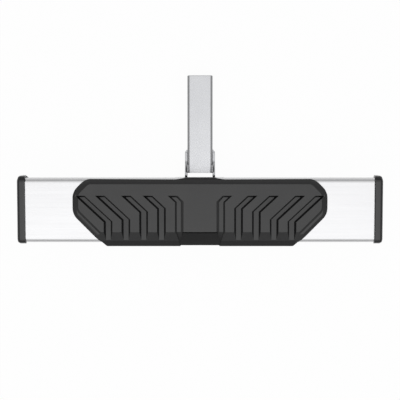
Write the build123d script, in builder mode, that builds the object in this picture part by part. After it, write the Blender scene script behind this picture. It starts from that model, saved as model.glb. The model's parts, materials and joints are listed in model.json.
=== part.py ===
from build123d import *
import math
import os

# A hitch receiver step: a wide flat step tube with a moulded tread pad and two end caps,
# bolted to a welded bracket whose square drawbar slides into the receiver of a vehicle.
# Millimetres. X runs across the vehicle, +Y points forward into the receiver, +Z is up.
# The origin is the centre of the hitch pin hole.

# Drawbar, a 2 inch square tube
drawbar_width = 50.8
drawbar_wall = 4.8
drawbar_corner = 6.0
drawbar_length = 195.3
drawbar_lead_in = 1.2
pin_hole_diameter = 16.7
pin_setback = 64.0

# Bracket plates and their welds
plate_thickness = 4.8
plate_overlap = 41.3
plate_ledge = 11.3
plate_toe = 10.0
plate_toe_inset = 8.0
plate_knee = 20.0
plate_round = 8.0
rise_gap = 12.6
base_thickness = 6.0
base_corner = 12.0
base_edge_margin = 13.0
weld_leg = 5.0
weld_end_leg = 6.0
weld_inset = 4.0
weld_crown = 0.56
flare_angle = 70.0
flare_rise = 2.0
flare_crown = 0.6

# Step tube with rounded corners
step_length = 711.2
tube_width = 125.2
tube_height = 50.8
tube_corner = 8.4
tube_wall = 2.0
drawbar_gap = 8.0

# End caps
cap_lip = 3.6
cap_sleeve = 9.0
cap_end = 7.4
cap_chamfer = 4.0
cap_edge = 1.5
cap_fit = 0.2
spigot_length = 32.0
spigot_wall = 3.0
spigot_fit = 0.3
rib_thickness = 2.5
rib_spacing = 30.0

# Tread pad, with heights above the top of the tube
pad_length = 493.8
pad_thickness = 12.0
pad_fit = 0.1
pad_back_inset = 2.8
back_tab_reach = 3.8
back_tab_width = 54.0
back_tab_foot = 96.0
back_tab_drop = 4.2
tread_back_inset = 11.3
tread_front_inset = 21.3
tread_edge_round = 1.2
slope_length = 18.0
slope_drop = 9.6
lip_thickness = 8.1
lip_shoulder_drop = 18.3
lip_drop = 33.4
lip_round = 3.0
lip_edge_round = 2.0
end_back_cut = 23.5
end_front_cut = 63.1
pad_end_corner = 30.0
pad_back_corner = 24.0
pad_front_corner = 5.0
lip_end_inset = 2.4
lip_end_lead = 12.6
lip_end_run = 4.0

# Rim of the pad: a bevel up to a ledge, and a second bevel from the ledge up to the tread
bevel_angle = 29.0
ledge_drop = 2.3
rim_bevel = 5.2
tread_end_inset = 7.8
tread_back_cut_inset = 7.6
tread_front_cut_inset = 11.0
tread_end_corner = 18.0
tread_back_corner = 18.0
tread_back_slack = 0.1

# Drain channels in each half of the pad, counted from the middle
channel_depths = (3.6, 8.5, 8.5, 8.5, 8.5)
channel_drops = (9.0, 22.0, 28.5, 43.5, 47.5)
channel_floor = 9.6
channel_wall = 3.4
channel_lean_spread = 1.2
channel_first = 40.3
channel_pitch = 34.4
channel_back_inset = 25.5
channel_angle = 43.0
channel_end_round = 4.0

# Recess in the middle of the front lip, with a groove along the tread
notch_width = 93.0
notch_front_width = 76.0
notch_panel_width = 68.0
notch_setback = 2.0
notch_bend = 58.1
notch_bend_height = 1.6
notch_angle = 34.0
groove_width = 2.0
groove_depth = 3.0
groove_lip = 1.2

# Barbed tabs that hold the pad in slots of the tube
tab_width = 16.0
tab_thickness = 4.0
tab_clearance = 0.8
tab_neck = 0.5
tab_barb = 7.0
tab_barb_length = 6.0
tab_tip = 2.0
tab_spacing = 120.0
tab_row_inset = 29.0

# Fasteners
bolt_diameter = 8.0
bolt_length = 25.0
bolt_flats = 13.0
bolt_head_height = 5.3
bolt_head_chamfer = 0.6
bolt_hole_clearance = 1.0
bolt_row_inset = 24.0
thread_clearance = 0.1
washer_diameter = 17.0
washer_thickness = 1.6
washer_clearance = 0.4
washer_room = 1.3
lock_diameter = 13.4
lock_thickness = 2.0
lock_split = 1.5
nut_height = 6.5
nut_plate_width = 24.0
nut_plate_thickness = 4.0

# Places that follow from these sizes
half_bar = drawbar_width / 2
drawbar_rear = pin_setback - drawbar_length
plate_front = drawbar_rear + plate_overlap
plate_top = half_bar - drawbar_corner
plate_bottom = weld_leg - plate_top
base_under = half_bar + rise_gap
tube_bottom = base_under + base_thickness
tube_top = tube_bottom + tube_height
tube_z = tube_bottom + tube_height / 2
half_tube = tube_width / 2
half_flat = half_tube - tube_corner
tube_y = drawbar_rear - drawbar_gap - half_tube
tube_end = step_length / 2 - cap_end
bolt_row = half_flat - bolt_row_inset
bolt_x = half_bar + plate_thickness + weld_leg + washer_room + washer_diameter / 2
base_width = 2 * (bolt_x + base_edge_margin)
base_back = half_tube
base_front = bolt_row + base_edge_margin
half_pad = pad_length / 2
pad_back = half_tube - pad_back_inset
tread_back = half_tube - tread_back_inset
tread_front = tread_front_inset - half_tube
lip_front = -half_tube - lip_thickness
tab_row = half_flat - tab_row_inset
tab_places = [(number - 1.5) * tab_spacing for number in range(4)]
bolt_places = [(x, y) for x in (-bolt_x, bolt_x) for y in (-bolt_row, bolt_row)]
sides = ((-1, "left"), (1, "right"))

# Cross sections, with Y to the right and Z up: through the tube's axis and at its top
tube_section = Plane((0, tube_y, tube_z), x_dir=(0, 1, 0), z_dir=(1, 0, 0))
pad_section = Plane((0, tube_y, tube_top), x_dir=(0, 1, 0), z_dir=(1, 0, 0))


def plan(height):
    return Plane((0, tube_y, height))


def save(piece, name):
    piece.part.label = name
    export_step(piece.part, f"parts/{name}.step")


os.makedirs("parts", exist_ok=True)

# Step tube
with BuildPart() as step_tube:
    with BuildSketch(tube_section):
        RectangleRounded(tube_width, tube_height, tube_corner)
        RectangleRounded(
            tube_width - 2 * tube_wall,
            tube_height - 2 * tube_wall,
            tube_corner - tube_wall,
            mode=Mode.SUBTRACT,
        )
    extrude(amount=tube_end, both=True)
    with BuildSketch(plan(tube_bottom)):
        with Locations(*bolt_places):
            Circle((bolt_diameter + bolt_hole_clearance) / 2)
    extrude(amount=tube_wall, mode=Mode.SUBTRACT)
    with BuildSketch(plan(tube_top)):
        with Locations(*[(x, y) for x in tab_places for y in (-tab_row, tab_row)]):
            Rectangle(tab_width + tab_clearance, tab_thickness + tab_clearance)
    extrude(amount=-tube_wall, mode=Mode.SUBTRACT)
save(step_tube, "step_tube")


# Outline of the pad from above, with a 45 degree cut at each corner, or a smaller one inside it
def pad_corners(back, front, end_inset=0, back_cut_inset=0, front_cut_inset=0):
    end = half_pad - end_inset
    back_line = half_pad + pad_back - end_back_cut - math.sqrt(2) * back_cut_inset
    front_line = half_pad - lip_front - end_front_cut - math.sqrt(2) * front_cut_inset
    right = [
        (front_line + front, front),
        (end, end - front_line),
        (end, back_line - end),
        (back_line - back, back),
    ]
    left = [(-x, y) for x, y in reversed(right)]
    return right + left


def round_corners(sketch, places, radius):
    for place in places:
        fillet(sketch.vertices().sort_by_distance(place)[0], radius)


# The tread on its bevelled rim, left long where the profile cuts it
bevel_slope = math.tan(math.radians(bevel_angle))
ledge_height = pad_thickness - ledge_drop
overrun = 2 * pad_end_corner
rim_corners = pad_corners(pad_back + overrun, lip_front - overrun)
tread_corners = pad_corners(
    tread_back + ledge_drop / bevel_slope + tread_back_slack,
    lip_front - overrun,
    tread_end_inset,
    tread_back_cut_inset,
    tread_front_cut_inset,
)
with BuildPart() as tread_form:
    with BuildSketch(plan(tube_top - lip_drop)) as rim_sketch:
        Polygon(*rim_corners)
        round_corners(rim_sketch, rim_corners[1:3] + rim_corners[5:7], pad_end_corner)
    extrude(amount=lip_drop + ledge_height)
    ledge = tread_form.faces().sort_by(Axis.Z)[-1]
    chamfer(ledge.edges(), length=rim_bevel, length2=rim_bevel * bevel_slope, reference=ledge)
    with BuildSketch(plan(tube_top + ledge_height)) as tread_sketch:
        Polygon(*tread_corners)
        round_corners(tread_sketch, tread_corners[1:3] + tread_corners[5:7], tread_end_corner)
        round_corners(tread_sketch, tread_corners[3:5], tread_back_corner)
    extrude(amount=ledge_drop, taper=90 - bevel_angle)

# The middle of the front lip is cut back to two slopes over the tube's edge. They start at a
# groove along the tread's middle panel, and beside it at the floor of the first channels.
notch_front = lip_front + notch_setback
notch_foot = notch_bend_height + (notch_front + notch_bend) * math.tan(math.radians(notch_angle))
notch_panel = [
    (tread_front, pad_thickness),
    (tread_front - groove_width / 2, pad_thickness - groove_depth),
    (tread_front - groove_width, pad_thickness - groove_lip),
]
notch_flank = [
    (tread_front, pad_thickness),
    (tread_front, pad_thickness - channel_depths[0]),
]
notch_slopes = [
    (-notch_bend, notch_bend_height),
    (notch_front, notch_foot),
    (notch_front, -lip_drop),
    (lip_front - lip_thickness, -lip_drop),
    (lip_front - lip_thickness, pad_thickness),
]
with BuildPart() as lip_notch:
    with BuildSketch(pad_section):
        Polygon(*notch_panel, *notch_slopes)
    extrude(amount=notch_panel_width / 2, both=True)
    for side, _ in sides:
        with BuildSketch(pad_section.offset(side * notch_panel_width / 2)):
            Polygon(*notch_flank, *notch_slopes)
        extrude(amount=side * (notch_width - notch_panel_width) / 2)
    with BuildSketch(plan(tube_top - lip_drop)):
        Polygon(
            (-notch_width / 2, tread_front),
            (-notch_front_width / 2, lip_front),
            (notch_front_width / 2, lip_front),
            (notch_width / 2, tread_front),
        )
    extrude(amount=lip_drop + pad_thickness, mode=Mode.INTERSECT)


# A drain channel leans in from the back of the tread, then runs straight to the front
def channel_outline(leg, drop, spread):
    bend = tread_back - channel_back_inset - drop
    back = tread_back - channel_back_inset + spread
    slant = math.tan(math.radians(channel_angle))
    half = channel_floor / 2 + spread
    lean_half = channel_floor / 2 + spread * channel_lean_spread
    lean = (back - bend) / slant
    kink = (lean_half - half) * slant
    outer = [(leg + lean + lean_half, back), (leg + half, bend - kink), (leg + half, lip_front)]
    inner = [(leg - half, lip_front), (leg - half, bend + kink), (leg + lean - lean_half, back)]
    return outer + inner


# Tread pad
back_height = pad_thickness - (pad_back - tread_back) * bevel_slope
tab_edge = pad_back + back_tab_reach
fold = (tread_front, pad_thickness)
run_out = (tread_front - slope_length, pad_thickness - slope_drop)
shoulder = (lip_front, pad_thickness - lip_shoulder_drop)
lip_edge = (lip_front, pad_thickness - lip_drop)
tab_shoulder = -tube_wall - tab_neck
with BuildPart() as step_pad:
    with BuildSketch(pad_section) as pad_profile:
        Polygon(
            (tab_edge, pad_thickness - lip_drop),
            (tab_edge, back_height - back_tab_drop),
            (pad_back, back_height),
            (tread_back, pad_thickness),
            fold,
            run_out,
            shoulder,
            lip_edge,
        )
        round_corners(pad_profile, [(tread_back, pad_thickness), fold], tread_edge_round)
        round_corners(pad_profile, [run_out, shoulder], lip_round)
        round_corners(pad_profile, [lip_edge], lip_edge_round)
        with Locations((0, -tube_height / 2)):
            RectangleRounded(
                tube_width + 2 * pad_fit,
                tube_height + 2 * pad_fit,
                tube_corner + pad_fit,
                mode=Mode.SUBTRACT,
            )
    extrude(amount=half_pad, both=True)
    pad_outline = pad_corners(pad_back, lip_front)
    lip_tip = pad_outline[0][0]
    lip_end = [
        (lip_tip - lip_end_inset, lip_front),
        (lip_tip - lip_end_inset + lip_end_lead - lip_end_run, lip_front + lip_end_lead - lip_end_run),
        (lip_tip + lip_end_lead, lip_front + lip_end_lead),
    ]
    far_lip_end = [(-x, y) for x, y in reversed(lip_end)]
    with BuildSketch(plan(tube_top - lip_drop)) as outline_sketch:
        Polygon(*lip_end, *pad_outline[1:-1], *far_lip_end)
        round_corners(outline_sketch, pad_outline[1:3] + pad_outline[5:7], pad_end_corner)
        round_corners(outline_sketch, [lip_end[0], far_lip_end[-1]], pad_front_corner)
        round_corners(outline_sketch, pad_outline[3:5], pad_back_corner)
        Polygon(
            (-back_tab_foot / 2, pad_back),
            (back_tab_foot / 2, pad_back),
            (back_tab_width / 2, tab_edge),
            (-back_tab_width / 2, tab_edge),
        )
    extrude(amount=lip_drop + pad_thickness, mode=Mode.INTERSECT)
    add(tread_form.part, mode=Mode.INTERSECT)
    for number, (depth, drop) in enumerate(zip(channel_depths, channel_drops)):
        leg = channel_first + number * channel_pitch
        for side, _ in sides:
            for height, spread in ((-depth, 0), (depth, 2 * channel_wall)):
                outline = [(side * x, y) for x, y in channel_outline(leg, drop, spread)]
                with BuildSketch(plan(tube_top + pad_thickness + height)) as channel_sketch:
                    Polygon(*outline)
                    round_corners(channel_sketch, outline[-1:], channel_end_round + spread)
            loft(ruled=True, mode=Mode.SUBTRACT)
    add(lip_notch.part, mode=Mode.SUBTRACT)
    with BuildSketch(*[pad_section.offset(x) for x in tab_places]):
        with Locations((-tab_row, 0), (tab_row, 0)):
            Polygon(
                (-tab_thickness / 2, pad_fit),
                (tab_thickness / 2, pad_fit),
                (tab_thickness / 2, tab_shoulder),
                (tab_barb / 2, tab_shoulder),
                (tab_tip / 2, tab_shoulder - tab_barb_length),
                (-tab_tip / 2, tab_shoulder - tab_barb_length),
                (-tab_barb / 2, tab_shoulder),
                (-tab_thickness / 2, tab_shoulder),
            )
    extrude(amount=tab_width / 2, both=True)
save(step_pad, "step_pad")

# End caps: a sleeve over the tube's end and a spigot whose ribs grip the tube from inside
for side, name in sides:
    mouth = Plane(
        (side * (tube_end - cap_sleeve), tube_y, tube_z), x_dir=(0, 1, 0), z_dir=(side, 0, 0)
    )
    spigot_width = tube_width - 2 * tube_wall - 2 * spigot_fit
    spigot_height = tube_height - 2 * tube_wall - 2 * spigot_fit
    spigot_corner = tube_corner - tube_wall - spigot_fit
    with BuildPart() as end_cap:
        with BuildSketch(mouth):
            RectangleRounded(
                tube_width + 2 * cap_lip, tube_height + 2 * cap_lip, tube_corner + cap_lip
            )
        extrude(amount=cap_sleeve + cap_end)
        outward = Axis((0, 0, 0), (side, 0, 0))
        chamfer(end_cap.faces().sort_by(outward)[-1].edges(), cap_chamfer)
        rim_edges = end_cap.edges().group_by(outward)
        chamfer(rim_edges[-1] + rim_edges[-3], cap_edge)
        with BuildSketch(mouth):
            RectangleRounded(
                tube_width + 2 * cap_fit, tube_height + 2 * cap_fit, tube_corner + cap_fit
            )
        extrude(amount=cap_sleeve, mode=Mode.SUBTRACT)
        with BuildSketch(mouth.offset(cap_sleeve)):
            RectangleRounded(spigot_width, spigot_height, spigot_corner)
            RectangleRounded(
                spigot_width - 2 * spigot_wall,
                spigot_height - 2 * spigot_wall,
                spigot_corner - spigot_wall,
                mode=Mode.SUBTRACT,
            )
            with GridLocations(rib_spacing, 0, 3, 1):
                Rectangle(rib_thickness, tube_height - 2 * tube_wall)
        extrude(amount=-spigot_length)
    save(end_cap, f"end_cap_{name}")

# Drawbar
with BuildPart() as drawbar:
    with BuildSketch(Plane((0, drawbar_rear, 0), x_dir=(1, 0, 0), z_dir=(0, 1, 0))):
        RectangleRounded(drawbar_width, drawbar_width, drawbar_corner)
    extrude(amount=drawbar_length)
    chamfer(drawbar.faces().sort_by(Axis.Y)[-1].edges(), drawbar_lead_in)
    with BuildSketch(Plane((0, drawbar_rear, 0), x_dir=(1, 0, 0), z_dir=(0, 1, 0))):
        bore = drawbar_width - 2 * drawbar_wall
        RectangleRounded(bore, bore, max(drawbar_corner - drawbar_wall, 0.5))
    extrude(amount=drawbar_length, mode=Mode.SUBTRACT)
    with BuildSketch(Plane.YZ):
        Circle(pin_hole_diameter / 2)
    extrude(amount=half_bar, both=True, mode=Mode.SUBTRACT)
save(drawbar, "drawbar")

# Side plates, from the drawbar's flanks up to the base plate
plate_rise = tube_y + base_back + plate_ledge
plate_tip = tube_y - base_front + plate_toe_inset
toe = (plate_tip, base_under - plate_toe)
knee = (drawbar_rear - plate_knee, plate_bottom)
slope_foot = (plate_rise + base_under - plate_top, plate_top)
for side, name in sides:
    with BuildPart() as side_plate:
        with BuildSketch(Plane.YZ.offset(side * half_bar)) as plate_sketch:
            Polygon(
                (plate_front, plate_top),
                slope_foot,
                (plate_rise, base_under),
                (plate_tip, base_under),
                toe,
                knee,
                (plate_front, plate_bottom),
            )
            round_corners(plate_sketch, [toe, knee, slope_foot], plate_round)
        extrude(amount=side * plate_thickness)
    save(side_plate, f"side_plate_{name}")

# Base plate under the tube
with BuildPart() as base_plate:
    with BuildSketch(plan(base_under)):
        with Locations((0, (base_back - base_front) / 2)):
            RectangleRounded(base_width, base_back + base_front, base_corner)
        with Locations(*bolt_places):
            Circle((bolt_diameter + bolt_hole_clearance) / 2, mode=Mode.SUBTRACT)
    extrude(amount=base_thickness)
save(base_plate, "base_plate")


# A crowned fillet weld along the normal of its plane, in the corner between x and y
def bead(corner, leg_x, leg_y, length):
    with BuildSketch(corner) as section:
        with BuildLine():
            ThreePointArc((leg_x, 0), (weld_crown * leg_x, weld_crown * leg_y), (0, leg_y))
            Polyline((0, leg_y), (0, 0), (leg_x, 0))
        make_face()
    extrude(section.sketch, amount=length / 2, both=True)


# Welds of the side plates: front end, lower edge and rounded upper edge of the drawbar, and
# both faces on the base
flank_middle = (drawbar_rear + plate_front) / 2
flank_height = (plate_top + plate_bottom) / 2
flare_end = (
    plate_top + drawbar_corner * math.cos(math.radians(flare_angle)),
    plate_top + drawbar_corner * math.sin(math.radians(flare_angle)),
)
rise_front = slope_foot[0] - weld_leg
rise_run = rise_front - drawbar_rear - weld_inset / 2
rise_middle = rise_front - rise_run / 2
base_run = base_back + base_front - plate_toe_inset
base_middle = tube_y + base_back - base_run / 2
for side, name in sides:
    flank = side * half_bar
    outside = side * (half_bar + plate_thickness)
    with BuildPart() as drawbar_weld:
        bead(
            Plane((flank, plate_front, flank_height), x_dir=(0, 1, 0), z_dir=(0, 0, -side)),
            weld_end_leg,
            plate_thickness,
            plate_top - plate_bottom - weld_inset,
        )
        bead(
            Plane((flank, flank_middle, plate_bottom), x_dir=(side, 0, 0), z_dir=(0, side, 0)),
            plate_thickness,
            weld_leg,
            plate_overlap - weld_inset,
        )
        with BuildSketch(Plane((0, rise_middle, 0), x_dir=(side, 0, 0), z_dir=(0, -side, 0))):
            with BuildLine():
                CenterArc((plate_top, plate_top), drawbar_corner, 0, flare_angle)
                SagittaArc(flare_end, (half_bar, half_bar + flare_rise), flare_crown)
                Line((half_bar, half_bar + flare_rise), (half_bar, plate_top))
            make_face()
        extrude(amount=rise_run / 2, both=True)
    save(drawbar_weld, f"drawbar_weld_{name}")
    with BuildPart() as base_weld:
        bead(
            Plane((outside, base_middle, base_under), x_dir=(side, 0, 0), z_dir=(0, side, 0)),
            weld_leg,
            weld_leg,
            base_run - 2 * weld_inset,
        )
        bead(
            Plane((flank, base_middle, base_under), x_dir=(-side, 0, 0), z_dir=(0, -side, 0)),
            weld_leg,
            weld_leg,
            base_run - 2 * weld_inset,
        )
    save(base_weld, f"base_weld_{name}")

# Backing bars inside the tube, one for each row of bolts
nut_plate_z = tube_bottom + tube_wall
for row, name in ((-bolt_row, "front"), (bolt_row, "rear")):
    with BuildPart() as nut_plate:
        with BuildSketch(plan(nut_plate_z)):
            with Locations((0, row)):
                Rectangle(base_width, nut_plate_width)
            with Locations((-bolt_x, row), (bolt_x, row)):
                Circle((bolt_diameter + bolt_hole_clearance) / 2, mode=Mode.SUBTRACT)
        extrude(amount=nut_plate_thickness)
    save(nut_plate, f"nut_plate_{name}")

# Nuts welded on the bars
with BuildPart() as weld_nuts:
    with BuildSketch(plan(nut_plate_z + nut_plate_thickness)):
        with Locations(*bolt_places):
            RegularPolygon(bolt_flats / 2, 6, major_radius=False)
            Circle((bolt_diameter + thread_clearance) / 2, mode=Mode.SUBTRACT)
    extrude(amount=nut_height)
save(weld_nuts, "weld_nuts")

# Plain washers under the base plate
with BuildPart() as flat_washers:
    with BuildSketch(plan(base_under)):
        with Locations(*bolt_places):
            Circle(washer_diameter / 2)
            Circle((bolt_diameter + washer_clearance) / 2, mode=Mode.SUBTRACT)
    extrude(amount=-washer_thickness)
save(flat_washers, "flat_washers")

# Split lock washers below them
lock_top = base_under - washer_thickness
with BuildPart() as lock_washers:
    with BuildSketch(plan(lock_top)):
        with Locations(*bolt_places):
            Circle(lock_diameter / 2)
            Circle((bolt_diameter + washer_clearance) / 2, mode=Mode.SUBTRACT)
            Rectangle(
                lock_diameter, lock_split, align=(Align.MIN, Align.CENTER), mode=Mode.SUBTRACT
            )
    extrude(amount=-lock_thickness)
save(lock_washers, "lock_washers")

# Hexagon bolts from below
head_top = lock_top - lock_thickness
with BuildPart() as mount_bolts:
    with BuildSketch(plan(head_top)):
        with Locations(*bolt_places):
            RegularPolygon(bolt_flats / 2, 6, major_radius=False)
    extrude(amount=-bolt_head_height)
    chamfer(mount_bolts.edges().group_by(Axis.Z)[0], bolt_head_chamfer)
    with BuildSketch(plan(head_top)):
        with Locations(*bolt_places):
            Circle(bolt_diameter / 2)
    extrude(amount=bolt_length)
save(mount_bolts, "mount_bolts")
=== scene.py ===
import json
import math
import bmesh
import bpy
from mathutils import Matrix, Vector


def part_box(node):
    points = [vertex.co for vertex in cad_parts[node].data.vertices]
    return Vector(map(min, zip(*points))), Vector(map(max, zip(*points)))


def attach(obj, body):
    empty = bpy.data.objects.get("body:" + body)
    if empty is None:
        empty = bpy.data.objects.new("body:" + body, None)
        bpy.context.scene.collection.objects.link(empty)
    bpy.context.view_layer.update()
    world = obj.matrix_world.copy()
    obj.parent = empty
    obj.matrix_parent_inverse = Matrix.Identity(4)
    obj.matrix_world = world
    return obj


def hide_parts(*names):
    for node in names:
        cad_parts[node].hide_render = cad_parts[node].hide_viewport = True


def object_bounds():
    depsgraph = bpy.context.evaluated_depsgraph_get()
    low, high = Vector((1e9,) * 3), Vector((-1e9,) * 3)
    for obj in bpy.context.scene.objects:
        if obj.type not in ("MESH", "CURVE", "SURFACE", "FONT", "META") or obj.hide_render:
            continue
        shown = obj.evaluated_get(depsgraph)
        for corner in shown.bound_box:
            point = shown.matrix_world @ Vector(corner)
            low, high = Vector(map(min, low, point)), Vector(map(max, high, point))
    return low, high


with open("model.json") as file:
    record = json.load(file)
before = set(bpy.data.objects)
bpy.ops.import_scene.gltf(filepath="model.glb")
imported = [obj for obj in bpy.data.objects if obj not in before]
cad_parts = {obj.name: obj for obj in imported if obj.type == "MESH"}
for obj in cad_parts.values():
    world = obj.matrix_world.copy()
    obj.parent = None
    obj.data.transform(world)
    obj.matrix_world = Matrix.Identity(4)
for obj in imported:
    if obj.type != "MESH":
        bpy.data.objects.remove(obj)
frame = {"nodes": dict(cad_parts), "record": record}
cadLow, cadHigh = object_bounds()
nodes = frame["nodes"]
slots = {subpart["node"]: subpart["material_slot"] for subpart in frame["record"]["subparts"]}
scene = bpy.context.scene
scene.view_settings.view_transform = "Standard"
print("frame: %d nodes" % len(nodes))


# small helpers for node trees

mixSockets = {"factor": 0, "first": 6, "second": 7, "colour": 2}  # of a colour mix


def newMaterial(name):
    material = bpy.data.materials.new(name)
    material.use_nodes = True
    return material, material.node_tree, material.node_tree.nodes["Principled BSDF"]


def feed(tree, socket, value):  # a link from another node, or a plain value
    if isinstance(value, bpy.types.NodeSocket):
        tree.links.new(value, socket)
    else:
        socket.default_value = value


def addNode(tree, kind, settings=None, **inputs):
    node = tree.nodes.new(kind)
    for key, value in (settings or {}).items():
        setattr(node, key, value)
    for key, value in inputs.items():
        feed(tree, node.inputs[key.replace("_", " ")], value)
    return node


def noise(tree, stretch, detail=3.0, roughness=0.5):  # over the piece's own metres, stretched per axis
    place = addNode(tree, "ShaderNodeTexCoord").outputs["Object"]
    where = addNode(tree, "ShaderNodeMapping", Vector=place, Scale=stretch).outputs[0]
    made = addNode(tree, "ShaderNodeTexNoise", Vector=where, Scale=1.0, Detail=detail, Roughness=roughness)
    return made.outputs["Fac"]


def spread(tree, value, low, high, start=0.3, end=0.7):  # a noise value brought to a range
    made = addNode(tree, "ShaderNodeMapRange", Value=value, From_Min=start, From_Max=end,
                   To_Min=low, To_Max=high)
    return made.outputs[0]


def tint(tree, factor, first, second):  # between two colours, each given or from a node
    made = addNode(tree, "ShaderNodeMix", {"data_type": "RGBA"})
    feed(tree, made.inputs[mixSockets["factor"]], factor)
    for name, value in (("first", first), ("second", second)):
        colour = (*value, 1) if isinstance(value, tuple) else value
        feed(tree, made.inputs[mixSockets[name]], colour)
    return made.outputs[mixSockets["colour"]]


def between(tree, value, start, end):  # 0 before start, 1 after end
    smooth = {"interpolation_type": "SMOOTHSTEP"}
    return addNode(tree, "ShaderNodeMapRange", smooth, Value=value, From_Min=start, From_Max=end).outputs[0]


def combine(tree, operation, first, second):
    made = addNode(tree, "ShaderNodeMath", {"operation": operation})
    for socket, value in zip(made.inputs, (first, second)):
        feed(tree, socket, value)
    return made.outputs[0]


def within(tree, value, start, full, lastFull, last):  # a band with soft ends
    return combine(tree, "MULTIPLY", between(tree, value, start, full), between(tree, value, last, lastFull))


def ownPlace(tree):  # distance from the middle plane, then Y and Z, in metres
    place = addNode(tree, "ShaderNodeTexCoord").outputs["Object"]
    axes = addNode(tree, "ShaderNodeSeparateXYZ", Vector=place).outputs
    return combine(tree, "ABSOLUTE", axes["X"], 0.0), axes["Y"], axes["Z"]


def bump(tree, height, strength, distance):
    return addNode(tree, "ShaderNodeBump", Height=height, Strength=strength, Distance=distance).outputs[0]


# finishes: noise is given as stretch, detail and roughness, relief as strength and distance

stainless = {"dark": (0.54, 0.54, 0.55), "light": (0.59, 0.59, 0.595), "rough": (0.20, 0.28),
             "lines": ((6, 900, 900), 4.0, 0.6), "cloud": ((9, 14, 14), 2.0), "relief": (0.04, 0.0002)}


def brushedStainless():
    material, tree, shader = newMaterial("brushedStainless")
    lines = noise(tree, *stainless["lines"])
    cloud = noise(tree, *stainless["cloud"])
    shader.inputs["Metallic"].default_value = 1.0
    tree.links.new(tint(tree, cloud, stainless["dark"], stainless["light"]), shader.inputs["Base Color"])
    tree.links.new(spread(tree, lines, *stainless["rough"]), shader.inputs["Roughness"])
    tree.links.new(bump(tree, lines, *stainless["relief"]), shader.inputs["Normal"])
    return material


# painted shade: the rim's lower gloss makes a less glossy copy of this rubber for the tilted rim faces
treadRubber = {"dark": (0.0055, 0.0055, 0.0059), "light": (0.009, 0.009, 0.0095), "rough": (0.31, 0.38),
               "grain": ((900, 900, 900), 3.0, 0.6), "cloud": ((22, 22, 22), 3.0), "relief": (0.13, 0.0003),
               "gloss": 0.56, "rimShadeGloss": 0.475}
# painted shade: a darker, less glossy copy of the tread rubber for the lip, its recess and the back tab
shadedLipRubber = {"dark": (0.003, 0.003, 0.0033), "light": (0.005, 0.005, 0.0053), "rough": (0.42, 0.5),
             "grain": ((900, 900, 900), 3.0, 0.6), "cloud": ((22, 22, 22), 3.0), "relief": (0.2, 0.0003),
             "gloss": 0.3}
# painted shade: the side gloss makes a less glossy copy of the cap plastic for the cap's sides
capPlastic = {"dark": (0.006, 0.006, 0.0065), "light": (0.010, 0.010, 0.0105), "rough": (0.24, 0.31),
              "grain": ((1300, 1300, 1300), 2.0, 0.6), "cloud": ((30, 30, 30), 3.0), "relief": (0.15, 0.0002),
              "gloss": 0.60, "sideShadeGloss": 0.36}


def mouldedBlack(name, look, gloss):
    material, tree, shader = newMaterial(name)
    grain = noise(tree, *look["grain"])
    cloud = noise(tree, *look["cloud"])
    shader.inputs["Specular IOR Level"].default_value = gloss
    tree.links.new(tint(tree, cloud, look["dark"], look["light"]), shader.inputs["Base Color"])
    tree.links.new(spread(tree, cloud, *look["rough"]), shader.inputs["Roughness"])
    tree.links.new(bump(tree, grain, *look["relief"]), shader.inputs["Normal"])
    return material


bracketSilver = {"dark": (0.48, 0.485, 0.50), "light": (0.55, 0.555, 0.57), "rough": (0.24, 0.34)}
plateSilver = {"dark": (0.38, 0.384, 0.395), "light": (0.45, 0.454, 0.465), "rough": (0.26, 0.36)}
silverGrain = {"fleck": ((700, 700, 700), 3.0, 0.6), "cloud": ((26, 26, 26), 3.0), "relief": (0.08, 0.0002),
               "metallic": 0.9}
# painted shade: the drawbar's rounded corners get a darker base colour in place of their darker reflection
cornerShadeBand = {"start": 0.0206, "full": 0.0221, "shade": (0.30, 0.303, 0.31)}
# painted shade: a dark line above the weld and a dark pool under the step, both darkening where shade falls
creviceShade = {"line": (0.0258, 0.0267, 0.0279, 0.0288), "run": (-0.112, -0.1225, -0.1295, -0.1315),
             "above": (0.012, 0.016), "pool": (-0.1345, -0.1365, -0.1405, -0.143),
             "width": (0.0235, 0.0255, 0.0300, 0.0325), "under": (0.0335, 0.0355),
             "ragged": ((420, 420, 420), 3.0, 0.6), "wander": 0.0012, "wanderAcross": 0.35,
             "shade": (0.008, 0.008, 0.0075)}


def paintedCornerShade(tree):  # painted shade: a darker base colour along the bent corners of the square tube, standing in for the darker reflection there
    across, _, up = ownPlace(tree)
    nearest = combine(tree, "MINIMUM", across, combine(tree, "ABSOLUTE", up, 0.0))
    return between(tree, nearest, cornerShadeBand["start"], cornerShadeBand["full"])


def paintedCreviceShade(tree):  # painted shade: darkening in the crevice above the weld and under the step, where shade falls
    across, along, up = ownPlace(tree)
    ragged = spread(tree, noise(tree, *creviceShade["ragged"]), -creviceShade["wander"], creviceShade["wander"])
    across = combine(tree, "ADD", across, combine(tree, "MULTIPLY", ragged, creviceShade["wanderAcross"]))
    along = combine(tree, "ADD", along, ragged)
    shadeMarks = []
    for sides, ends, height in (("line", "run", "above"), ("width", "pool", "under")):
        ends = within(tree, along, *creviceShade[ends])
        mark = combine(tree, "MULTIPLY", within(tree, across, *creviceShade[sides]), ends)
        shadeMarks.append(combine(tree, "MULTIPLY", mark, between(tree, up, *creviceShade[height])))
    return combine(tree, "MAXIMUM", *shadeMarks)


def silverCoat(name, coat, shadeMarks, shade):
    material, tree, shader = newMaterial(name)
    fleck = noise(tree, *silverGrain["fleck"])
    cloud = noise(tree, *silverGrain["cloud"])
    shader.inputs["Metallic"].default_value = silverGrain["metallic"]
    silver = tint(tree, cloud, coat["dark"], coat["light"])
    # painted shade: the mask darkens the silver towards the shade colour
    tree.links.new(tint(tree, shadeMarks(tree), silver, shade), shader.inputs["Base Color"])
    tree.links.new(spread(tree, fleck, *coat["rough"]), shader.inputs["Roughness"])
    tree.links.new(bump(tree, fleck, *silverGrain["relief"]), shader.inputs["Normal"])
    return material


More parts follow.
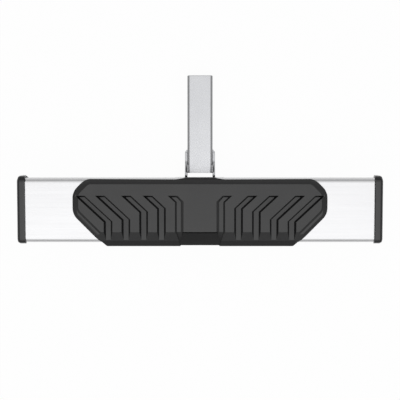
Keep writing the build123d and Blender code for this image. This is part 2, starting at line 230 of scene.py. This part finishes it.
zincPlate = {"dark": (0.52, 0.53, 0.55), "light": (0.62, 0.63, 0.64), "rough": (0.25, 0.36),
             "cloud": ((220, 220, 220), 3.0)}


def brightZinc():
    material, tree, shader = newMaterial("brightZinc")
    cloud = noise(tree, *zincPlate["cloud"])
    shader.inputs["Metallic"].default_value = 1.0
    tree.links.new(tint(tree, cloud, zincPlate["dark"], zincPlate["light"]), shader.inputs["Base Color"])
    tree.links.new(spread(tree, cloud, *zincPlate["rough"]), shader.inputs["Roughness"])
    return material


finishes = {
    "stainless": brushedStainless(),
    "tread_black": mouldedBlack("grainedRubber", treadRubber, treadRubber["gloss"]),
    "cap_black": mouldedBlack("satinCap", capPlastic, capPlastic["gloss"]),
    # the bracket's crevices take painted shade
    "bracket_silver": silverCoat("silverBracket", plateSilver, paintedCreviceShade, creviceShade["shade"]),
    "zinc": brightZinc(),
}
for node, slot in slots.items():
    piece = nodes[node]
    piece.data.materials.clear()
    piece.data.materials.append(finishes[slot])
# the drawbar's corners take painted shade
drawbarSilver = silverCoat("silverDrawbar", bracketSilver, paintedCornerShade, cornerShadeBand["shade"])
nodes["drawbar"].data.materials[0] = drawbarSilver
print("finishes: %d" % len(finishes))


# copies of the solids with eased or reshaped edges, in place of the sharp ones

copying = {"merge": 1e-6, "flat": 0.4, "sharpest": 25.0, "segments": 2}  # metres and degrees


def easedCopy(node, name, width, reshape=None):  # without a width the edges stay crisp
    source = nodes[node]
    mesh = bpy.data.meshes.new(name)
    bm = bmesh.new()
    bm.from_mesh(source.data)
    bmesh.ops.remove_doubles(bm, verts=bm.verts, dist=copying["merge"])
    bmesh.ops.dissolve_limit(bm, angle_limit=math.radians(copying["flat"]), verts=bm.verts, edges=bm.edges)
    if reshape:
        reshape(bm)
    bm.normal_update()
    for face in bm.faces:
        face.smooth = True
    for edge in bm.edges:
        edge.smooth = bool(width) or edge.calc_face_angle(0.0) < math.radians(copying["sharpest"])
    bm.to_mesh(mesh)
    bm.free()
    piece = bpy.data.objects.new(name, mesh)
    scene.collection.objects.link(piece)
    if width:
        ease = piece.modifiers.new("easedEdges", "BEVEL")
        ease.width = width
        ease.segments = copying["segments"]
        ease.limit_method = "ANGLE"
        ease.angle_limit = math.radians(copying["sharpest"])
        ease.harden_normals = True
    even = piece.modifiers.new("evenNormals", "WEIGHTED_NORMAL")
    even.keep_sharp = True
    made = piece.evaluated_get(bpy.context.evaluated_depsgraph_get())
    piece.data = bpy.data.meshes.new_from_object(made)
    piece.modifiers.clear()
    piece.data.name = name
    piece.data.materials.clear()
    piece.data.materials.append(source.data.materials[0])
    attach(piece, "root")
    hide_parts(node)
    return piece


# tread pad: places are in the frame's metres, "below" counts down from the top of the pad

channelWall = {"steep": 0.75, "outward": 0.3, "leaning": -0.3, "behind": (-0.243, -0.17),
               "across": (0.03, 0.236), "upper": 0.0004, "lower": 0.0034, "leanWiden": 0.0006,
               "runWiden": 0.0003, "firstHalf": 0.052, "firstEase": 0.0016}
backEdge = {"strip": (-0.1495, -0.1405), "tabHalf": 0.047, "below": 0.003, "ends": (0.213, 0.2285),
            "nearTab": 0.06, "tabShare": 0.35, "shift": 0.0014, "shiftFrom": -0.1475,
            "drop": 0.0012, "dropUnder": 0.0938, "dropFrom": -0.143}
rim = {"ledge": (0.0023, 0.0002, 0.0005), "middle": (0.00374, 0.0001, 0.001),  # below, tolerance, least fall
       "outlineBelow": 0.00518, "outlineNear": 0.0003, "outlineFrom": 0.19, "from": 0.15, "drop": 0.0014,
       "front": (-0.2125, -0.2005), "back": (-0.148, -0.1425), "slope": (-0.2425, -0.238),
       "cut": (-0.2055, -0.2125), "cutInset": 0.0015, "middleShare": 0.5}
padMesh = {"bent": 0.5, "sliver": 1e-5}
padFace = {"lipBack": -0.2607, "tabFront": -0.1424, "tabHalf": 0.049, "recessBack": -0.2434,
           "recessHalf": (0.0465, 0.038), "front": -0.2726, "rimTilt": (0.75, 0.985), "rimBelow": 0.0075,
           "rimFront": -0.2425, "rimFrom": 0.17, "rimBack": -0.1505}
padSlots = {"tread": 0, "shaded": 1, "rim": 2}


def ramp(value, start, full):  # 0 at start, 1 at full and beyond
    share = min(1.0, max(0.0, (value - start) / (full - start)))
    return share * share * (3 - 2 * share)


def inside(value, limits):
    return limits[0] < value < limits[1]


def onChannelWall(face, centre, side):
    facing = abs(face.normal.z) < channelWall["steep"] and face.normal.x * side > channelWall["outward"]
    return facing and inside(centre.y, channelWall["behind"]) and inside(abs(centre.x), channelWall["across"])


def widenChannels(bm, top, moves):  # the inner walls lean out; the first channel's is eased at its foot
    for face in bm.faces:
        centre = face.calc_center_median()
        side = math.copysign(1.0, centre.x)
        if not onChannelWall(face, centre, side):
            continue
        leaning = face.normal.y < channelWall["leaning"]
        widen = channelWall["leanWiden"] if leaning else channelWall["runWiden"]
        first = abs(centre.x) < channelWall["firstHalf"] and not leaning
        flat = face.normal.xy.normalized()
        for point in face.verts:
            if point.co.z > top - channelWall["upper"] and (leaning or point not in moves):
                moves[point] = (-flat.x * widen, -flat.y * widen, 0.0)
            elif point.co.z < top - channelWall["lower"] and first:
                moves[point] = (side * channelWall["firstEase"], 0.0, 0.0)


def onStep(point, top, below, tolerance, fall):  # at this height, with an edge that runs down from it
    falls = [edge.other_vert(point).co.z - point.co.z for edge in point.link_edges]
    return abs(point.co.z - top + below) < tolerance and min(falls) < -fall


def backMove(x, y, z):  # the back edge runs further back, less so by the tab and not at the ends
    share = 1 - ramp(abs(x), *backEdge["ends"])
    share *= backEdge["tabShare"] if abs(x) < backEdge["nearTab"] else 1.0
    drop = backEdge["drop"] if z < backEdge["dropUnder"] and y > backEdge["dropFrom"] else 0.0
    return 0.0, backEdge["shift"] * share if y > backEdge["shiftFrom"] else 0.0, -drop * share


def rimMove(x, y, onLedge, onMiddle):  # the rim sinks at the ends, and the front cut's outer bevel is wider
    side = math.copysign(1.0, x)
    atEnds = ramp(y, *rim["front"]) if onLedge else ramp(y, *rim["slope"])
    if onMiddle:
        atEnds = (1 + ramp(y, *rim["front"])) / 2
    share = atEnds * (1 - ramp(y, *rim["back"]))
    inset = rim["cutInset"] * ramp(y, *rim["cut"]) * math.sqrt(0.5)
    inset *= 1.0 if onLedge else rim["middleShare"] if onMiddle else 0.0
    atSlope = onLedge and y < rim["slope"][1]
    return -side * inset * (2 if atSlope else 1), 0.0 if atSlope else inset, -rim["drop"] * share


def softenPad(bm):  # the moulded run of the back edge, the sinking rim at the ends and wider channel walls
    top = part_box("step_pad")[1].z
    bm.normal_update()
    moves = {}
    widenChannels(bm, top, moves)
    for point in bm.verts:
        x, y, z = point.co
        onLedge = onStep(point, top, *rim["ledge"])
        onMiddle = onStep(point, top, *rim["middle"])
        onOutline = abs(z - top + rim["outlineBelow"]) < rim["outlineNear"] and abs(x) > rim["outlineFrom"]
        if inside(y, backEdge["strip"]) and abs(x) > backEdge["tabHalf"] and z < top - backEdge["below"]:
            moves[point] = backMove(x, y, z)
        elif abs(x) > rim["from"] and (onLedge or onMiddle or onOutline):
            moves[point] = rimMove(x, y, onLedge, onMiddle)
    for point, (dx, dy, dz) in moves.items():
        point.co.x += dx
        point.co.y += dy
        point.co.z += dz
    bmesh.ops.connect_verts_nonplanar(bm, angle_limit=math.radians(padMesh["bent"]), faces=bm.faces[:])
    bmesh.ops.triangulate(bm, faces=bm.faces[:], quad_method="BEAUTY", ngon_method="BEAUTY")
    bmesh.ops.dissolve_degenerate(bm, dist=padMesh["sliver"], edges=bm.edges[:])
    print("tread pad: %d points softened" % len(moves))


def treadPad():  # the folded lip, its recess and the back tab get painted shade from a darker, less glossy copy of the rubber; tilted rim faces get painted shade from a less glossy copy
    pad = easedCopy("step_pad", "treadPad", None, reshape=softenPad)
    # painted shade: the lip, its recess and the back tab take the darker, less glossy copy
    pad.data.materials.append(mouldedBlack("shadedRubber", shadedLipRubber, shadedLipRubber["gloss"]))
    # painted shade: the tilted rim faces take the less glossy copy
    pad.data.materials.append(mouldedBlack("rimShadeRubber", treadRubber, treadRubber["rimShadeGloss"]))
    wide, narrow = padFace["recessHalf"]
    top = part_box("step_pad")[1].z
    for face in pad.data.polygons:
        x, y, z = face.center
        along = (padFace["recessBack"] - y) / (padFace["recessBack"] - padFace["front"])
        inRecess = y < padFace["recessBack"] and abs(x) < wide + (narrow - wide) * along
        onTab = y > padFace["tabFront"] and abs(x) < padFace["tabHalf"]
        tilted = inside(face.normal.z, padFace["rimTilt"]) and top - padFace["rimBelow"] < z
        outer = abs(x) > padFace["rimFrom"] or y > padFace["rimBack"]
        name = "rim" if tilted and outer and y > padFace["rimFront"] else "tread"
        if y < padFace["lipBack"] or inRecess or onTab:
            name = "shaded"
        face.material_index = padSlots[name]


treadPad()
# the lip's dark finish is painted shade
print("tread pad: softened rim and a dull lip")

capShell = {"ease": 0.0009, "sleeve": 0.009, "shoulder": 0.086, "backShoulder": 0.0968, "rake": 10.7,
            "most": 0.0068, "shift": 0.0009, "mouthCut": 0.0011, "bore": 0.001, "outside": 0.0005,
            "topFacing": 0.94}


def endCap(node, name):  # below the shoulder the mouth leans out towards the cap's end
    cap = easedCopy(node, name, capShell["ease"])
    tubeLow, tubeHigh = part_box("step_tube")
    middle = (tubeLow.y + tubeHigh.y) / 2
    half = (tubeHigh.y - tubeLow.y) / 2
    mouth = tubeHigh.x - capShell["sleeve"]
    boreHeights = (tubeLow.z + capShell["bore"], tubeHigh.z - capShell["bore"])
    for point in cap.data.vertices:
        offset = abs(point.co.y - middle)
        inBore = offset < half - capShell["bore"] and inside(point.co.z, boreHeights)
        if not inBore and abs(point.co.x) < mouth + 2 * capShell["ease"]:
            shoulder = capShell["backShoulder" if point.co.y > middle else "shoulder"]
            fall = max(0.0, shoulder - point.co.z) * math.tan(math.radians(capShell["rake"]))
            if point.co.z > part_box(node)[1].z - capShell["ease"] / 2:
                fall += capShell["mouthCut"]
            point.co.x += math.copysign(min(fall, capShell["most"]), point.co.x)
        if offset > half + capShell["outside"]:
            point.co.y += capShell["shift"]
    # painted shade: faces that do not face up or down take the less glossy copy
    cap.data.materials.append(mouldedBlack("satinCapShadedSides", capPlastic, capPlastic["sideShadeGloss"]))
    for face in cap.data.polygons:
        face.material_index = int(abs(face.normal.z) < capShell["topFacing"])


endCap("end_cap_left", "endCapLeft")
endCap("end_cap_right", "endCapRight")
print("end caps: eased edges and raked mouths")

easedPieces = {"drawbar": ("drawbarTube", 0.0004), "side_plate_left": ("sidePlateLeft", 0.0006),
               "side_plate_right": ("sidePlateRight", 0.0006), "base_plate": ("basePlate", 0.0006)}
for node, (name, width) in easedPieces.items():
    easedCopy(node, name, width)
print("eased edges: %d pieces" % len(easedPieces))

weldBead = {"pitch": 0.0023, "depth": 0.0003, "slice": 0.00055, "curl": 0.009, "endBead": -0.0913,
            "onPlane": 1e-7, "sharpest": 50}


def rippledWeld(node, name):  # the laid ripples of each bead, curved across its run
    low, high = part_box(node)
    mesh = bpy.data.meshes.new(name)
    bm = bmesh.new()
    bm.from_mesh(nodes[node].data)
    bmesh.ops.remove_doubles(bm, verts=bm.verts, dist=copying["merge"])
    for axis in (1, 2):
        for step in range(1, int((high[axis] - low[axis]) / weldBead["slice"])):
            place, normal = [0.0, 0.0, 0.0], [0.0, 0.0, 0.0]
            place[axis] = low[axis] + step * weldBead["slice"]
            normal[axis] = 1.0
            whole = bm.verts[:] + bm.edges[:] + bm.faces[:]
            bmesh.ops.bisect_plane(bm, geom=whole, dist=weldBead["onPlane"], plane_co=place, plane_no=normal)
    bm.normal_update()
    middle = (low.x + high.x) / 2
    for point in bm.verts:
        run = point.co.z if point.co.y > weldBead["endBead"] else point.co.y
        phase = (run + (point.co.x - middle) ** 2 / weldBead["curl"]) / weldBead["pitch"]
        point.co -= point.normal * weldBead["depth"] * (1 - abs(math.sin(math.pi * phase)))
    bm.to_mesh(mesh)
    bm.free()
    mesh.shade_smooth()
    mesh.set_sharp_from_angle(angle=math.radians(weldBead["sharpest"]))
    mesh.materials.append(finishes[slots[node]])
    bead = bpy.data.objects.new(name, mesh)
    scene.collection.objects.link(bead)
    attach(bead, "root")
    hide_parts(node)


for side in ("left", "right"):
    rippledWeld("drawbar_weld_" + side, "drawbarWeld" + side.capitalize())
    rippledWeld("base_weld_" + side, "baseWeld" + side.capitalize())
print("welds: four rippled pieces")

# stage: a white sweep, one large soft lamp overhead and a dim dome

sweep = {"flat": 3.0, "rim": 10.0, "height": 2.5, "rings": 14, "segments": 96, "shadow": 0.04, "paper": 0.8}


def sweepMesh():  # a flat disc that curves up to a rim all round
    mesh = bpy.data.meshes.new("floorSweep")
    bm = bmesh.new()
    centre = (cadLow + cadHigh) / 2
    rows = []
    for ring in range(sweep["rings"] + 1):
        turn = math.pi / 2 * max(0, ring - 1) / (sweep["rings"] - 1)
        radius = sweep["flat"] + (sweep["rim"] - sweep["flat"]) * math.sin(turn)
        height = cadLow.z + sweep["height"] * (1 - math.cos(turn))
        if ring == 0:
            radius = sweep["flat"] / 2
        row = []
        for step in range(sweep["segments"]):
            angle = 2 * math.pi * step / sweep["segments"]
            x = centre.x + radius * math.cos(angle)
            y = centre.y + radius * math.sin(angle)
            row.append(bm.verts.new((x, y, height)))
        rows.append(row)
    bm.faces.new(rows[0])
    for inner, outer in zip(rows, rows[1:]):
        for step in range(sweep["segments"]):
            after = (step + 1) % sweep["segments"]
            bm.faces.new((inner[step], outer[step], outer[after], inner[after]))
    bm.to_mesh(mesh)
    bm.free()
    mesh.shade_smooth()
    return mesh


def whitePaper():  # white to the eye, paper to the light, and clear from behind
    material = bpy.data.materials.new("whitePaper")
    material.use_nodes = True
    tree = material.node_tree
    tree.nodes.clear()
    path = addNode(tree, "ShaderNodeLightPath")
    seen = path.outputs["Is Camera Ray"]
    for ray in ("Is Glossy Ray", "Is Transmission Ray"):
        seen = combine(tree, "MAXIMUM", seen, path.outputs[ray])
    white = addNode(tree, "ShaderNodeEmission", Color=(1, 1, 1, 1), Strength=1.0)
    paper = addNode(tree, "ShaderNodeBsdfDiffuse", Color=(sweep["paper"], sweep["paper"], sweep["paper"], 1))
    front = addNode(tree, "ShaderNodeMixShader", Fac=combine(tree, "MULTIPLY", seen, 1 - sweep["shadow"]))
    tree.links.new(paper.outputs[0], front.inputs[1])
    tree.links.new(white.outputs[0], front.inputs[2])
    side = addNode(tree, "ShaderNodeNewGeometry")
    clear = addNode(tree, "ShaderNodeBsdfTransparent")
    both = addNode(tree, "ShaderNodeMixShader", Fac=side.outputs["Backfacing"])
    tree.links.new(front.outputs[0], both.inputs[1])
    tree.links.new(clear.outputs[0], both.inputs[2])
    addNode(tree, "ShaderNodeOutputMaterial", Surface=both.outputs[0])
    return material


def whiteSweep():
    mesh = sweepMesh()
    floor = bpy.data.objects.new("floorSweep", mesh)
    scene.collection.objects.link(floor)
    mesh.materials.append(whitePaper())


lamp = {"width": 3.2, "depth": 2.8, "height": 2.7, "forward": 1.4, "radiance": 0.57}
dome = {"horizon": 0.36, "rise": 0.90, "power": 2.0}


def studioLight():
    soft = bpy.data.lights.new("softLamp", "AREA")
    soft.shape = "RECTANGLE"
    soft.size = lamp["width"]
    soft.size_y = lamp["depth"]
    soft.energy = lamp["radiance"] * math.pi * lamp["width"] * lamp["depth"]
    hung = bpy.data.objects.new("softLamp", soft)
    middle = (cadLow + cadHigh) / 2
    hung.location = (middle.x, middle.y - lamp["forward"], middle.z + lamp["height"])
    scene.collection.objects.link(hung)
    world = bpy.data.worlds.new("studioDome")
    scene.world = world
    world.use_nodes = True
    tree = world.node_tree
    direction = addNode(tree, "ShaderNodeTexCoord").outputs["Generated"]
    height = addNode(tree, "ShaderNodeSeparateXYZ", Vector=direction).outputs["Z"]
    upward = combine(tree, "POWER", height, dome["power"])
    level = spread(tree, upward, dome["horizon"], dome["horizon"] + dome["rise"], 0.0, 1.0)
    background = tree.nodes["Background"]
    background.inputs["Color"].default_value = (1, 1, 1, 1)
    tree.links.new(level, background.inputs["Strength"])


# focal length and picture width in pixels, sensor in millimetres, the rest in metres and degrees
camera = {"place": (0.0, -0.07183, 1.89144), "tilt": -3.5, "focal": 927, "picture": 400, "sensor": 36.0,
          "nearest": 0.05}


def photoCamera():
    data = bpy.data.cameras.new("photoCamera")
    data.sensor_width = camera["sensor"]
    data.lens = camera["focal"] / camera["picture"] * data.sensor_width
    data.clip_start = camera["nearest"]
    seat = bpy.data.objects.new("photoCamera", data)
    seat.location = camera["place"]
    seat.rotation_euler = (math.radians(camera["tilt"]), 0, 0)
    scene.collection.objects.link(seat)
    scene.camera = seat


whiteSweep()
studioLight()
photoCamera()
print("stage: sweep, lamp, dome and camera")
